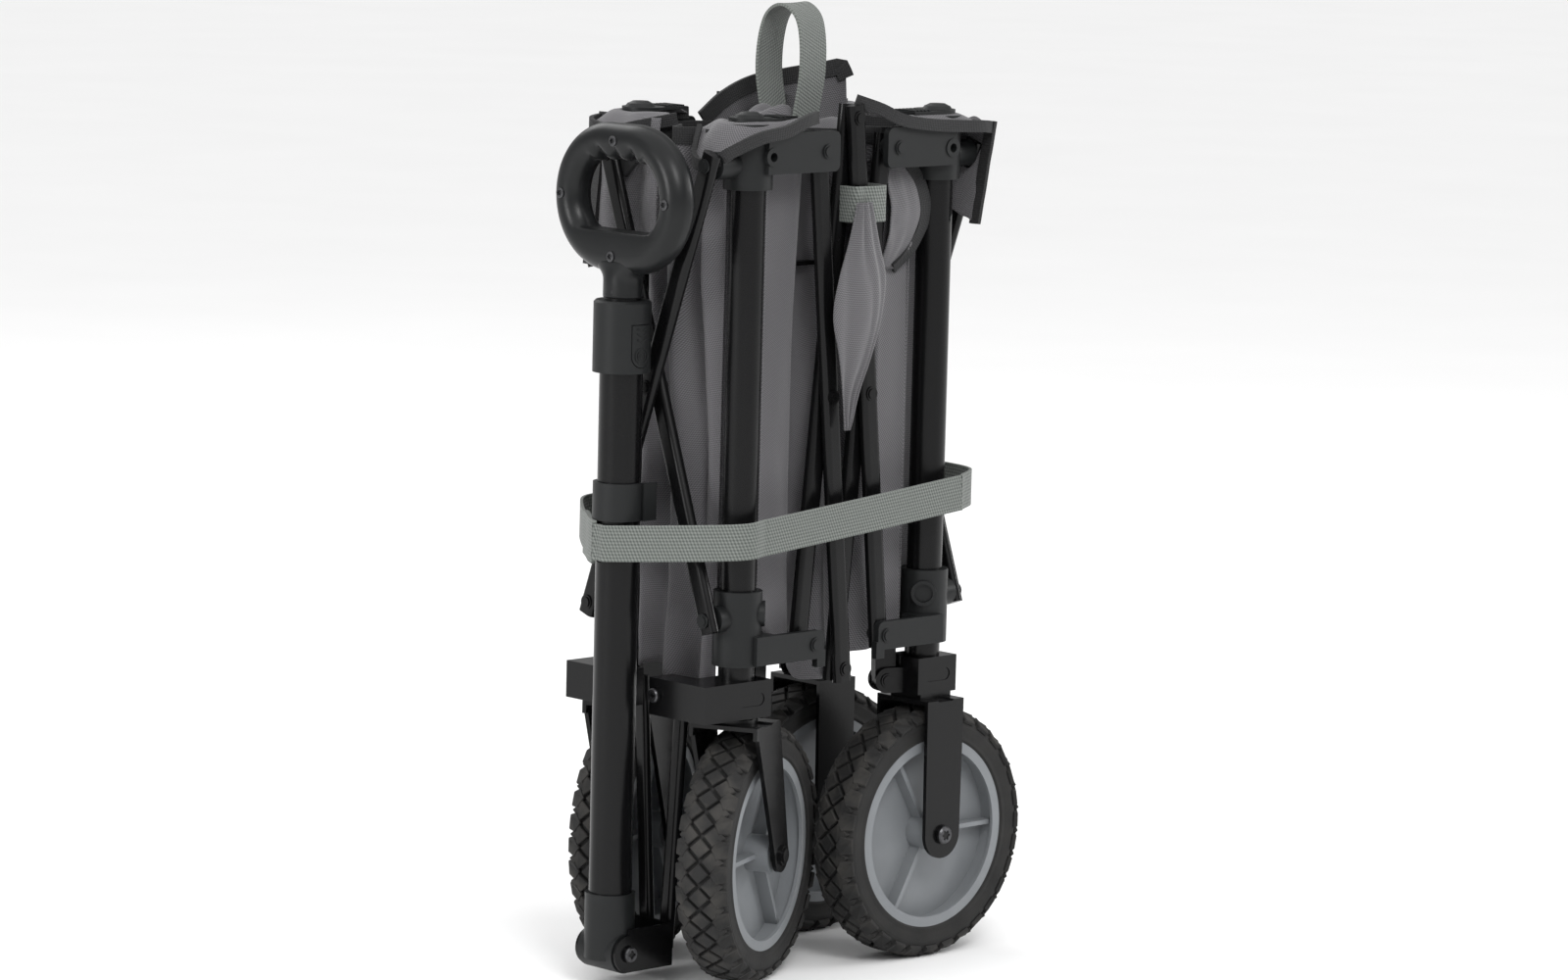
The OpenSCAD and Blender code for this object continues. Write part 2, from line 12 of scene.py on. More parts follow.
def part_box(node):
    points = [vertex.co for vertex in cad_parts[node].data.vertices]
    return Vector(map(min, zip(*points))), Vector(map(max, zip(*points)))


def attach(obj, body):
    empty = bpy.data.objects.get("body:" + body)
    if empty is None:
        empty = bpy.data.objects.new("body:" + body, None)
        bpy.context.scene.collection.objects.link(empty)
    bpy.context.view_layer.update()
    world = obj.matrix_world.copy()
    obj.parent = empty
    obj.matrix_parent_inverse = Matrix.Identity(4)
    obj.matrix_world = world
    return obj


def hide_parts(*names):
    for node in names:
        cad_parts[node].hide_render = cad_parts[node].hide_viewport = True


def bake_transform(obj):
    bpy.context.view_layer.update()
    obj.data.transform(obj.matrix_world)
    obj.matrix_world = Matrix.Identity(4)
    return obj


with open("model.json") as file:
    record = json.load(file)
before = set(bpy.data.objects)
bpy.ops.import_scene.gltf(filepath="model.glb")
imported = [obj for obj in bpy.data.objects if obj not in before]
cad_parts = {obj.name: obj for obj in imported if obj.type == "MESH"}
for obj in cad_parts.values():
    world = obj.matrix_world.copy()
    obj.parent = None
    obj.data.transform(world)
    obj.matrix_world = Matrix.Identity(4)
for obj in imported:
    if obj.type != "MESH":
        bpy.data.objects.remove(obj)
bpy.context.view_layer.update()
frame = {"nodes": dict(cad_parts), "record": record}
nodes = frame["nodes"]
MM = 0.001
CORNERS = ("fl", "fr", "rl", "rr")

# Places taken from the frame ----------------------------------------------------------------------


def middle(node):
    low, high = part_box(node)
    return (low + high) / 2


POST = {c: middle("post_" + c) for c in CORNERS}
TOP_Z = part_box("post_fl")[1].z
MID = (POST["fl"] + POST["rr"]) / 2
HALF_X = (POST["rl"].x - POST["fl"].x) / 2
HALF_Y = (POST["fr"].y - POST["fl"].y) / 2
HANDLE = middle("handle_tube")
BAG_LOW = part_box("fabric_bag")[0]


# Materials ----------------------------------------------------------------------------------------


class Nodes:
    """A material's node tree, with short calls to add and link nodes."""

    def __init__(self, name, roughness, metallic=0.0):
        self.mat = bpy.data.materials.new(name)
        self.mat.use_nodes = True
        self.tree = self.mat.node_tree
        self.shader = self.tree.nodes["Principled BSDF"]
        self.shader.inputs["Roughness"].default_value = roughness
        self.shader.inputs["Metallic"].default_value = metallic

    def add(self, kind, **inputs):
        made = self.tree.nodes.new(kind)
        for key, value in inputs.items():
            made.inputs[key.replace("_", " ")].default_value = value
        return made

    def link(self, a, b):
        self.tree.links.new(a, b)

    def coords(self, uv=False):
        return self.add("ShaderNodeTexCoord").outputs["UV" if uv else "Object"]

    def noise(self, scale, detail=4.0, source=None):
        made = self.add("ShaderNodeTexNoise", Scale=scale, Detail=detail)
        self.link(source or self.coords(), made.inputs["Vector"])
        return made.outputs["Fac"]

    def math(self, operation, a, b):
        made = self.add("ShaderNodeMath")
        made.operation = operation
        for socket, value in zip(made.inputs, (a, b)):
            if isinstance(value, (int, float)):
                socket.default_value = value
            else:
                self.link(value, socket)
        return made.outputs[0]

    def mix(self, fac, dark, light):
        made = self.add("ShaderNodeMix")
        made.data_type = "RGBA"
        self.link(fac, made.inputs[0])
        for socket, value in ((made.inputs[6], dark), (made.inputs[7], light)):
            if isinstance(value, tuple):
                socket.default_value = (*value, 1)
            else:
                self.link(value, socket)
        return made.outputs[2]

    def ramp(self, fac, low, high):
        made = self.add("ShaderNodeMapRange", From_Min=low, From_Max=high)
        self.link(fac, made.inputs["Value"])
        return made.outputs[0]

    def colour(self, socket):
        self.link(socket, self.shader.inputs["Base Color"])

    def rough(self, fac, low, high):
        made = self.add("ShaderNodeMapRange", To_Min=low, To_Max=high)
        self.link(fac, made.inputs["Value"])
        self.link(made.outputs[0], self.shader.inputs["Roughness"])

    def bump(self, height, distance, strength=0.6):
        made = self.add("ShaderNodeBump", Distance=distance, Strength=strength)
        self.link(height, made.inputs["Height"])
        self.link(made.outputs["Normal"], self.shader.inputs["Normal"])


def powder_coat(name, dark, light, low, high):
    """Semi-gloss powder coat with a fine orange peel and faint handling marks."""
    m = Nodes(name, 0.35)
    smudge = m.noise(18, 6)
    m.colour(m.mix(smudge, dark, light))
    m.rough(m.noise(9, 8), low, high)
    m.bump(m.noise(900, 2), 0.00005, 0.5)
    m.shader.inputs["Specular IOR Level"].default_value = 0.2
    return m.mat


def moulded(name, dark, light, low, high, grain=1300):
    """Moulded plastic with a spark-eroded grain and slight colour drift."""
    m = Nodes(name, 0.55)
    m.colour(m.mix(m.noise(25, 5), dark, light))
    m.rough(m.noise(40, 6), low, high)
    m.bump(m.noise(grain, 3), 0.00008, 0.5)
    m.shader.inputs["Specular IOR Level"].default_value = 0.22
    return m.mat


def woven(name, dark, light, pitch, twill, roughness=0.85, sheen=0.25):
    """Cloth woven at a pitch in metres; twill slants the ribs. It works in the cloth's own UVs, in metres."""
    m = Nodes(name, roughness)
    uv = m.coords(uv=True)
    axes = m.add("ShaderNodeSeparateXYZ")
    m.link(uv, axes.inputs[0])
    turn = 2 * math.pi / pitch
    warp = m.math(
        "SINE",
        m.math("MULTIPLY", m.math("ADD", axes.outputs[0], m.math("MULTIPLY", axes.outputs[1], twill)), turn),
        0,
    )
    weft = m.math("SINE", m.math("MULTIPLY", axes.outputs[1], turn), 0)
    weave = m.ramp(m.math("ADD", warp, m.math("MULTIPLY", weft, 0.8)), -1.6, 1.6)
    shade = m.mix(m.ramp(m.noise(6, 5), 0.3, 0.7), tuple(0.86 * v for v in dark), dark)
    m.colour(m.mix(weave, shade, light))
    thread = m.math("ADD", weave, m.math("MULTIPLY", m.noise(700, 3), 0.5))
    m.bump(thread, pitch * 0.22, 0.7)
    m.shader.inputs["Sheen Weight"].default_value = sheen
    m.shader.inputs["Sheen Roughness"].default_value = 0.5
    return m.mat


def tyre_rubber():
    """Black rubber, patchily lighter on the lug tops and darker down the lug sides and in the grooves; the lug
    attribute is 1 on top of a lug and 0 in a groove.
    """
    m = Nodes("tyre_rubber", 0.8)
    lug = m.add("ShaderNodeAttribute")
    lug.attribute_name = "lug"
    # Lighter colour by lug height: full on the lug tops, less down their sides, least in the grooves, and
    # patchy by noise.
    lug_top_tone = m.math("MULTIPLY", lug.outputs["Fac"], m.ramp(m.noise(60, 8), 0.42, 0.8))
    m.colour(m.mix(lug_top_tone, (0.004, 0.0038, 0.0037), (0.04, 0.037, 0.033)))
    m.rough(m.noise(120, 6), 0.7, 0.95)
    m.bump(m.noise(650, 6), 0.0002, 0.6)
    return m.mat


def rivet_steel():
    """Dark plated steel of rivets and screws."""
    m = Nodes("rivet_steel", 0.3, 0.9)
    m.colour(m.mix(m.noise(300, 4), (0.02, 0.02, 0.022), (0.12, 0.12, 0.125)))
    return m.mat


MATS = {
    "black_steel": powder_coat("black_steel", (0.0024, 0.0024, 0.0026), (0.0045, 0.0045, 0.0048), 0.2, 0.32),
    "stamped_steel": powder_coat(
        "stamped_steel", (0.0024, 0.0024, 0.0026), (0.0045, 0.0045, 0.0048), 0.18, 0.3
    ),
    "bracket_plastic": moulded(
        "bracket_plastic", (0.0075, 0.0082, 0.0085), (0.012, 0.0128, 0.0132), 0.36, 0.52
    ),
    "grip_plastic": moulded("grip_plastic", (0.006, 0.0065, 0.0068), (0.01, 0.0105, 0.011), 0.26, 0.4, 1700),
    "rim_plastic": moulded("rim_plastic", (0.15, 0.16, 0.17), (0.215, 0.225, 0.235), 0.3, 0.46, 900),
    "fabric": woven("fabric", (0.04, 0.0385, 0.0425), (0.135, 0.131, 0.139), 0.0015, 0.55, 0.85, 0.18),
    "binding": woven("binding", (0.003, 0.003, 0.0034), (0.012, 0.012, 0.013), 0.0016, 0.0, 0.8, 0.03),
    "webbing": woven("webbing", (0.045, 0.052, 0.047), (0.17, 0.184, 0.17), 0.0023, 0.35, 0.75, 0.15),
    "tyre": tyre_rubber(),
    "rivet": rivet_steel(),
}

# Helpers for meshes -------------------------------------------------------------------------------


def piece(name, verts, faces, slot, uvs=None, smooth=True, material=None):
    """A mesh object with its material (the slot's, unless another is given) and, for cloth, UVs in metres that
    are given one per vertex.
    """
    mesh = bpy.data.meshes.new(name)
    mesh.from_pydata([tuple(v) for v in verts], [], faces)
    mesh.materials.append(MATS[material or slot])
    if uvs:
        layer = mesh.uv_layers.new(name="uv")
        for loop in mesh.loops:
            layer.data[loop.index].uv = uvs[loop.vertex_index]
    for polygon in mesh.polygons:
        polygon.use_smooth = smooth
    made = bpy.data.objects.new(name, mesh)
    bpy.context.scene.collection.objects.link(made)
    return made


def grid_faces(nu, nv, closed=False):
    """Faces of a grid whose vertex (i, j) has index i * nv + j; closed joins the last row to the first."""
    rows = nu if closed else nu - 1
    return [
        (i * nv + j, (i + 1) % nu * nv + j, (i + 1) % nu * nv + j + 1, i * nv + j + 1)
        for i in range(rows)
        for j in range(nv - 1)
    ]


def sheet_grid(name, nu, nv, place, slot, thickness=0.0008, material=None):
    """A cloth grid from place(u, v), u and v from 0 to 1, with UVs along its real lengths and a thickness."""
    points = [[Vector(place(i / (nu - 1), j / (nv - 1))) for j in range(nv)] for i in range(nu)]
    along = [0.0]
    for i in range(1, nu):
        along.append(along[-1] + (points[i][nv // 2] - points[i - 1][nv // 2]).length)
    uvs = []
    for i in range(nu):
        up = 0.0
        for j in range(nv):
            up += (points[i][j] - points[i][j - 1]).length if j else 0.0
            uvs.append((along[i], up))
    made = piece(name, [p for row in points for p in row], grid_faces(nu, nv), slot, uvs, material=material)
    if thickness:
        apply_modifier(made, "SOLIDIFY", thickness=thickness, offset=0)
    return made


def apply_modifier(obj, kind, **settings):
    modifier = obj.modifiers.new(kind.lower(), kind)
    for key, value in settings.items():
        setattr(modifier, key, value)
    graph = bpy.context.evaluated_depsgraph_get()
    mesh = bpy.data.meshes.new_from_object(
        obj.evaluated_get(graph), preserve_all_data_layers=True, depsgraph=graph
    )
    obj.modifiers.clear()
    obj.data = mesh


def smooth_step(a, b, x):
    t = min(1.0, max(0.0, (x - a) / (b - a)))
    return t * t * (3 - 2 * t)


def wobble(x, y, z=0.0):
    return noise.noise(Vector((x, y, z)))


def band(name, route, width, thickness, slot="webbing", closed=False, up=Vector((0, 0, 1)), material=None):
    """A flat strap of a width along a route of points; its width runs along up, made square to the route."""
    verts, uvs, length = [], [], 0.0
    count = len(route)
    edge = min(width * 0.08, 0.0015)
    profile = [(-0.5, -0.5), (-0.5, 0.5), (0.5, 0.5), (0.5, -0.5)]
    for i, p in enumerate(route):
        ahead = route[(i + 1) % count] if closed or i < count - 1 else p
        behind = route[i - 1] if closed or i else p
        along = (ahead - behind).normalized()
        side = along.cross(up).normalized()
        true_up = side.cross(along).normalized()
        length += (p - route[i - 1]).length if i else 0.0
        for a, b in profile:
            verts.append(p + true_up * (a * width) + side * (b * thickness))
            uvs.append((length, (a + b * edge) * width))
    faces = []
    rings = count if closed else count - 1
    for i in range(rings):
        for k in range(4):
            a, b = i * 4 + k, i * 4 + (k + 1) % 4
            c, d = (i + 1) % count * 4 + (k + 1) % 4, (i + 1) % count * 4 + k
            faces.append((a, b, c, d))
    if not closed:
        faces += [(3, 2, 1, 0), tuple(len(verts) - 4 + k for k in range(4))]
    return piece(name, verts, faces, slot, uvs, smooth=False, material=material)


def edge_binding(name, points, width=0.011, thickness=0.0024, up=Vector((0, 0, 1))):
    return band(name, points, width, thickness, "binding", up=up)


def curve_points(controls, count):
    """Points along a smooth line through the control points (Catmull-Rom)."""
    pts = [Vector(c) for c in controls]
    pts = [pts[0] * 2 - pts[1], *pts, pts[-1] * 2 - pts[-2]]
    out = []
    spans = len(pts) - 3
    for k in range(count):
        t = k / (count - 1) * spans
        i = min(int(t), spans - 1)
        t -= i
        a, b, c, d = pts[i : i + 4]
        out.append(
            0.5 * (2 * b + (c - a) * t + (2 * a - 5 * b + 4 * c - d) * t * t + (3 * b - a - 3 * c + d) * t**3)
        )
    return out


# CAD nodes that stay: material and softened edges -------------------------------------------------


def finish_cad_nodes():
    """Gives every CAD node its slot's material, smooth faces and softened edges."""
    slots = {s["node"]: s["material_slot"] for s in frame["record"]["subparts"]}
    for name, obj in nodes.items():
        slot = slots[name]
        obj.data.materials.clear()
        obj.data.materials.append(MATS[slot])
        for polygon in obj.data.polygons:
            polygon.use_smooth = True
        wide = 0.0012 if slot in ("bracket_plastic", "stamped_steel", "rim_plastic") else 0.0005
        bevel = obj.modifiers.new("soft_edges", "BEVEL")
        bevel.width = wide
        bevel.segments = 2
        bevel.limit_method = "ANGLE"
        bevel.angle_limit = math.radians(38)
        bevel.use_clamp_overlap = True
        bevel.harden_normals = False
        weighted = obj.modifiers.new("normals", "WEIGHTED_NORMAL")
        weighted.keep_sharp = True


# Tyres --------------------------------------------------------------------------------------------
TREAD_DEPTH = 3.2 * MM
LUGS_ROUND = 32
STORED_TURN = math.radians(24)


def tyre(corner):
    """A tyre with a carcass and diamond lugs, made round its own axle and then set in place."""
    low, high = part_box("tyre_" + corner)
    centre = (low + high) / 2
    radius = (high.z - low.z) / 2
    turn = STORED_TURN if corner[0] == "f" else 0.0
    half = (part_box("tyre_rl")[1].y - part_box("tyre_rl")[0].y) / 2
    inner = (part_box("rim_rl")[1].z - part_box("rim_rl")[0].z) / 2 - 0.5 * MM
    carcass = radius - TREAD_DEPTH
    shoulder = 8 * MM
    outline = [
        (inner, -half + 3 * MM), (inner + 2 * MM, -half + 1.2 * MM), (inner + 5 * MM, -half + 1.6 * MM)
    ]
    for k in range(7):
        a = math.pi / 2 * k / 6
        outline.append(
            (carcass - shoulder + shoulder * math.sin(a), -half + shoulder + 1 * MM - shoulder * math.cos(a))
        )
    outline += [(r, -y) for r, y in reversed(outline)]
    around, across = 96, len(outline)
    # lug sets how far the rubber's colour is lightened: 0.25 on the carcass, 0.2 at a lug's foot, 0.6 up its
    # side and 1 on its top.
    verts, lug = [], []
    for i in range(around):
        a = 2 * math.pi * i / around
        for r, y in outline:
            verts.append((r * math.cos(a), y, r * math.sin(a)))
            lug.append(0.25)
    faces = [tuple(reversed(f)) for f in grid_faces(around, across, closed=True)]
    faces += [
        (i * across, (i + 1) % around * across, ((i + 1) % around + 1) * across - 1, (i + 1) * across - 1)
        for i in range(around)
    ]

    def surface(angle, y, height):
        """Point on the rounded tread at a height above the carcass."""
        edge = half - shoulder
        over = max(0.0, abs(y) - edge)
        bend = min(over / shoulder, 1.45)
        r = carcass - shoulder + (shoulder + height) * math.cos(bend)
        side = (edge + (shoulder + height * 0.6) * math.sin(bend)) * (1 if y > 0 else -1) if over else y
        return (r * math.cos(angle), side, r * math.sin(angle))

    def block(outline_2d):
        """A lug whose corners are (angle, y), with a slightly smaller top."""
        start = len(verts)
        n = len(outline_2d)
        ca = sum(a for a, _ in outline_2d) / n
        cy = sum(y for _, y in outline_2d) / n
        for shrink, height, top in (
            (1.0, -0.4 * MM, 0.2), (0.93, TREAD_DEPTH * 0.8, 0.6), (0.82, TREAD_DEPTH, 1.0)
        ):
            for a, y in outline_2d:
                verts.append(surface(ca + (a - ca) * shrink, cy + (y - cy) * shrink, height))
                lug.append(top)
        for level in (0, 1):
            for k in range(n):
                p, q = start + level * n + k, start + level * n + (k + 1) % n
                faces.append((p, q, q + n, p + n))
        faces.append(tuple(start + 2 * n + k for k in range(n)))

    step = 2 * math.pi / LUGS_ROUND
    row = half * 0.5
    wide, tall = step * 0.43, row * 0.86
    for i in range(LUGS_ROUND):
        for j, y in enumerate((-2 * row, -row, 0.0, row, 2 * row)):
            a = step * (i + (0.5 if j % 2 else 0.0))
            if abs(y) > 1.5 * row:
                s = 1 if y > 0 else -1
                near, far = s * (half - 6.5 * MM), s * (half + 1.5 * MM)
                block(
                    [
                        (a - wide, near),
                        (a - wide * 0.8, far),
                        (a + wide * 0.8, far),
                        (a + wide, near),
                        (a, near - s * 4 * MM),
                    ]
                )
            else:
                block([(a - wide, y), (a, y - tall), (a + wide, y), (a, y + tall)])
    made = piece("tread_" + corner, verts, faces, "tyre", smooth=False)
    made.data.attributes.new("lug", "FLOAT", "POINT").data.foreach_set("value", lug)
    made.matrix_world = Matrix.Translation(centre) @ Matrix.Rotation(turn, 4, "Z")
    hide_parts("tyre_" + corner)
    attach(made, "wheel_" + corner)


# Handle grip --------------------------------------------------------------------------------------
def grip():
    """Ring grip with finger scallops inside its top bar, a seam between its halves, a neck and screws."""
    low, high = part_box("handle_grip")
    centre_y, centre_x = (low.y + high.y) / 2, (low.x + high.x) / 2
    section_r = 12.5 * MM
    straight = 13 * MM
    turn_r = (high.y - low.y) / 2 - straight - section_r
    centre_z = high.z - turn_r - section_r
    arc, line = math.pi * turn_r, 2 * straight
    total = 2 * arc + 2 * line

    def centreline(s):
        """Point and outward direction in the ring's plane, at a distance s round it from the top's middle."""
        s %= total
        if s < line / 2:
            return (s, turn_r), (0.0, 1.0)
        s -= line / 2
        if s < arc:
            a = s / turn_r
            return (straight + turn_r * math.sin(a), turn_r * math.cos(a)), (math.sin(a), math.cos(a))
        s -= arc
        if s < line:
            return (straight - s, -turn_r), (0.0, -1.0)
        s -= line
        if s < arc:
            a = math.pi + s / turn_r
            return (-straight + turn_r * math.sin(a), turn_r * math.cos(a)), (math.sin(a), math.cos(a))
        return (-straight + s - arc, turn_r), (0.0, 1.0)

    around, ring = 160, 40
    verts = []
    for i in range(around):
        s = total * i / around
        (y, z), (oy, oz) = centreline(s)
        from_top = min(s, total - s)
        fingers = smooth_step(38 * MM, 24 * MM, from_top) * 2.3 * MM * math.cos(2 * math.pi * s / (19 * MM))
        for k in range(ring):
            a = 2 * math.pi * k / ring
            ca, sa = math.cos(a), math.sin(a)
            deep = sa * section_r * 0.98
            out = ca * (section_r - 0.8 * MM)
            if ca < -0.1:
                out += fingers * min(1.0, -ca * 1.6)
            seam = 0.35 * MM * math.exp(-((sa * 14) ** 2)) * (1 if ca > 0 else -1)
            rise = z + oz * (out - seam)
            inner = smooth_step(0.1, -0.6, ca) * smooth_step(0.0, -12 * MM, z)
            floor_z = section_r + 4 * MM - turn_r
            gap = rise - floor_z
            rise += inner * ((math.sqrt(gap * gap + (3 * MM) ** 2) - gap) / 2)
            verts.append((centre_x + deep, centre_y + y + oy * (out - seam), centre_z + rise))
    faces = [
        (
            i * ring + k,
            i * ring + (k + 1) % ring,
            (i + 1) % around * ring + (k + 1) % ring,
            (i + 1) % around * ring + k,
        )
        for i in range(around)
        for k in range(ring)
    ]
    made = piece("grip_ring", verts, faces, "grip_plastic")
    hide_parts("handle_grip")
    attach(made, "handle_inner")
    neck_verts, neck_faces, rings = [], [], 14
    neck_low, neck_high = low.z, centre_z - turn_r - 3 * MM
    for i in range(rings):
        t = i / (rings - 1)
        z = neck_low + (neck_high - neck_low) * t
        flare = smooth_step(0.35, 1.0, t)
        for k in range(ring):
            a = 2 * math.pi * k / ring
            neck_verts.append(
                (
                    centre_x + 13.6 * MM * math.cos(a) * (1 - 0.1 * flare),
                    centre_y + math.sin(a) * (14 + 15 * flare**2) * MM,
                    z,
                )
            )
    neck_faces = [
        (i * ring + k, i * ring + (k + 1) % ring, (i + 1) * ring + (k + 1) % ring, (i + 1) * ring + k)
        for i in range(rings - 1)
        for k in range(ring)
    ]
    neck_faces += [tuple(reversed(range(ring))), tuple((rings - 1) * ring + k for k in range(ring))]
    neck = piece("grip_neck", neck_verts, neck_faces, "grip_plastic")
    apply_modifier(neck, "BEVEL", width=0.8 * MM, segments=2, limit_method="ANGLE")
    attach(neck, "handle_inner")
    spots = [(centreline(total * f)[0], 0) for f in (0.0, 0.25, 0.5, 0.75)]
    spots = [(y, z) for (y, z), _ in spots] + [(0.0, -turn_r - 24 * MM)]
    for k, (y, z) in enumerate(spots):
        screw(
            "grip_screw_%d" % k,
            Vector((centre_x - 12.6 * MM, centre_y + y, centre_z + z)),
            Vector((-1, 0, 0)),
            3.6 * MM,
            6,
            "handle_inner",
        )


def screw(name, at, axis, radius, points, body, proud=0.7 * MM):
    """A screw head with a star or cross recess, facing along axis."""
    verts, faces = [], []
    rings = [
        (radius, -0.6 * MM),
        (radius, proud * 0.5),
        (radius * 0.86, proud),
        (radius * 0.5, proud),
        (radius * 0.42, -0.4 * MM),
    ]
    count = 36
    for r, h in rings:
        for k in range(count):
            a = 2 * math.pi * k / count
            star = 1 + 0.22 * math.cos(points * a) if r < radius * 0.6 else 1.0
            verts.append((r * star * math.cos(a), r * star * math.sin(a), h))
    for i in range(len(rings) - 1):
        for k in range(count):
            faces.append(
                (
                    i * count + k,
                    i * count + (k + 1) % count,
                    (i + 1) * count + (k + 1) % count,
                    (i + 1) * count + k,
                )
            )
    faces.append(tuple((len(rings) - 1) * count + k for k in range(count)))
    faces.append(tuple(reversed(range(count))))
    turn = axis.to_track_quat("Z", "Y").to_matrix().to_4x4()
    made = piece(name, verts, faces, "stamped_steel", smooth=False, material="rivet")
    made.matrix_world = Matrix.Translation(at) @ turn
    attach(made, body)
    return made


# Fabric -------------------------------------------------------------------------------------------
CLOTH_LOW = BAG_LOW.z


def side_panel(name, sign, seed):
    """Long side of the tub, folded between the posts. sign is -1 on the left side and 1 on the right."""
    face_y = HALF_Y - 2.9 * MM
    reach = HALF_X - 21 * MM

    def place(u, v):
        x = (2 * u - 1) * reach
        free = smooth_step(reach, reach - 0.032, abs(x)) * smooth_step(0.043, 0.034, abs(x)) + 0.12
        phase = 2 * math.pi * (x / 0.043 + 0.5 * wobble(v * 1.3, seed) + 0.12 * v)
        fold = 0.5 - 0.5 * math.cos(phase + 0.8 * math.sin(phase) + 1.3 * wobble(x * 9, v * 2.2, seed))
        crease = wobble(x * 40, v * 5, seed + 3.0) * 0.8 + wobble(x * 70, v * 11, seed) * 0.2
        depth = free * (17 * MM * fold * (0.6 + 0.4 * v) + 1.6 * MM * crease + 1.6 * MM)
        low = CLOTH_LOW + 0.012 * wobble(x * 22, seed) - 0.022 * math.cos(x / reach * 2.4) + 0.006
        high = TOP_Z - 6 * MM + (0.022 * smooth_step(-0.01, 0.05, x) if sign > 0 else 0.0)
        sway = 2.2 * MM * math.sin(phase) * min(1.0, free)
        return (MID.x + x + sway, MID.y + sign * (face_y - depth), low + (high - low) * v)

    made = sheet_grid(name, 150, 60, place, "fabric")
    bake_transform(made)
    return made, place


def end_panel(name, sign, seed):
    """Short end of the tub; sign is -1 at the front and 1 at the rear."""
    face_x = HALF_X + 17 * MM
    reach = HALF_Y - 17 * MM

    def place(u, v):
        y = (2 * u - 1) * reach
        free = smooth_step(reach, reach - 0.014, abs(y)) + 0.1
        phase = 2 * math.pi * (y / 0.034 + 0.35 * wobble(v * 1.6, seed))
        fold = 0.5 - 0.5 * math.cos(phase + 1.2 * wobble(y * 11, v * 2.6, seed))
        crease = wobble(y * 45, v * 8, seed + 5.0) * 0.8 + wobble(y * 100, v * 21, seed) * 0.4
        depth = free * (15 * MM * fold + 1.8 * MM * crease) + (1 - min(1.0, free)) * 15 * MM
        low = CLOTH_LOW + 0.014 * wobble(y * 25, seed) - 0.012
        high = TOP_Z - 4 * MM
        return (MID.x + sign * (face_x - depth), MID.y + y, low + (high - low) * v)

    made = sheet_grid(name, 80, 60, place, "fabric")
    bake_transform(made)
    return made, place


def corner_wrap(corner, seed):
    """Cloth that wraps the inner side of a post, between a side panel and an end panel."""
    post = POST[corner]
    sx = 1 if corner[0] == "f" else -1
    sy = 1 if corner[1] == "l" else -1
    start = Vector((post.x + sx * 21 * MM, post.y + sy * 2.9 * MM))
    mid = Vector((post.x + sx * 21.5 * MM, post.y + sy * 19 * MM))
    end = Vector((post.x - sx * 3 * MM, post.y + sy * 18.5 * MM))

    def place(u, v):
        a = start.lerp(mid, u).lerp(mid.lerp(end, u), u)
        ripple = 1.2 * MM * wobble(u * 5, v * 9, seed) * math.sin(math.pi * u)
        z = CLOTH_LOW + (TOP_Z - 5 * MM - CLOTH_LOW) * v
        return (a.x + sx * ripple, a.y + sy * ripple, z)

    made = sheet_grid("corner_wrap_" + corner, 16, 50, place, "fabric")
    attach(made, "corner_" + corner)


def corner_flap(corner, rim_points, seed, inwards=(8, 3), dome=0.0):
    """Bound flap of cloth under a corner's clamp plate. Its rim is in mm from the post's top, x and y outwards.

    Its flat size is read back off the finished mesh, at a nominal width: it isn't the size it was cut to.
    """
    post = POST[corner]
    sx = -1 if corner[0] == "f" else 1
    sy = -1 if corner[1] == "l" else 1
    top = TOP_Z + 3.4 * MM
    rim = [
        Vector((post.x + sx * x * MM, post.y + sy * y * MM, top + z * MM))
        for x, y, z in curve_points(rim_points, 60)
    ]
    heart = Vector((post.x - sx * inwards[0] * MM, post.y - sy * inwards[1] * MM, top + dome * MM))

    def place(u, v):
        edge = rim[round(u * 59)]
        p = heart.lerp(edge, 0.12 + 0.88 * v)
        drop = (edge.z - top) * smooth_step(0.5, 1.0, v)
        puff = 2.6 * MM * math.sin(math.pi * v) * (0.6 + 0.6 * wobble(u * 5, v * 2, seed))
        return (p.x, p.y, top + dome * MM * (1 - v) ** 2 + drop + puff * smooth_step(0.35, 0.7, v))

    made = sheet_grid("corner_flap_" + corner, 60, 20, place, "fabric")
    edge = edge_binding("corner_flap_binding_" + corner, rim, 0.0085, 0.0032)
    for obj in (made, edge):
        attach(obj, "corner_" + corner)


def far_flap():
    """Loose part of the right side's top edge, which rises behind the pull strap."""
    path = curve_points(
        [(-34, 52, 598), (-16, 49, 612), (6, 45, 622), (32, 38, 627), (56, 28, 631), (72, 18, 635)], 50
    )

    def place(u, v):
        p = path[round(u * 49)]
        fold = 4 * math.sin(2.2 * math.pi * u + 0.6) * (1 - v)
        z = p.z - 50 * (1 - v) - 10 * smooth_step(0.96, 1.0, u) * v
        return (MID.x + (p.x + 8 * (1 - v) * u - 0.3 * fold) * MM, MID.y + (p.y + fold) * MM, z * MM)

    made = sheet_grid("far_flap", 50, 24, place, "fabric")
    top = edge_binding("far_flap_binding", [Vector(place(t / 49, 0.93)) for t in range(50)], 0.0115, 0.003)
    for obj in (made, top):
        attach(obj, "corner_rr")


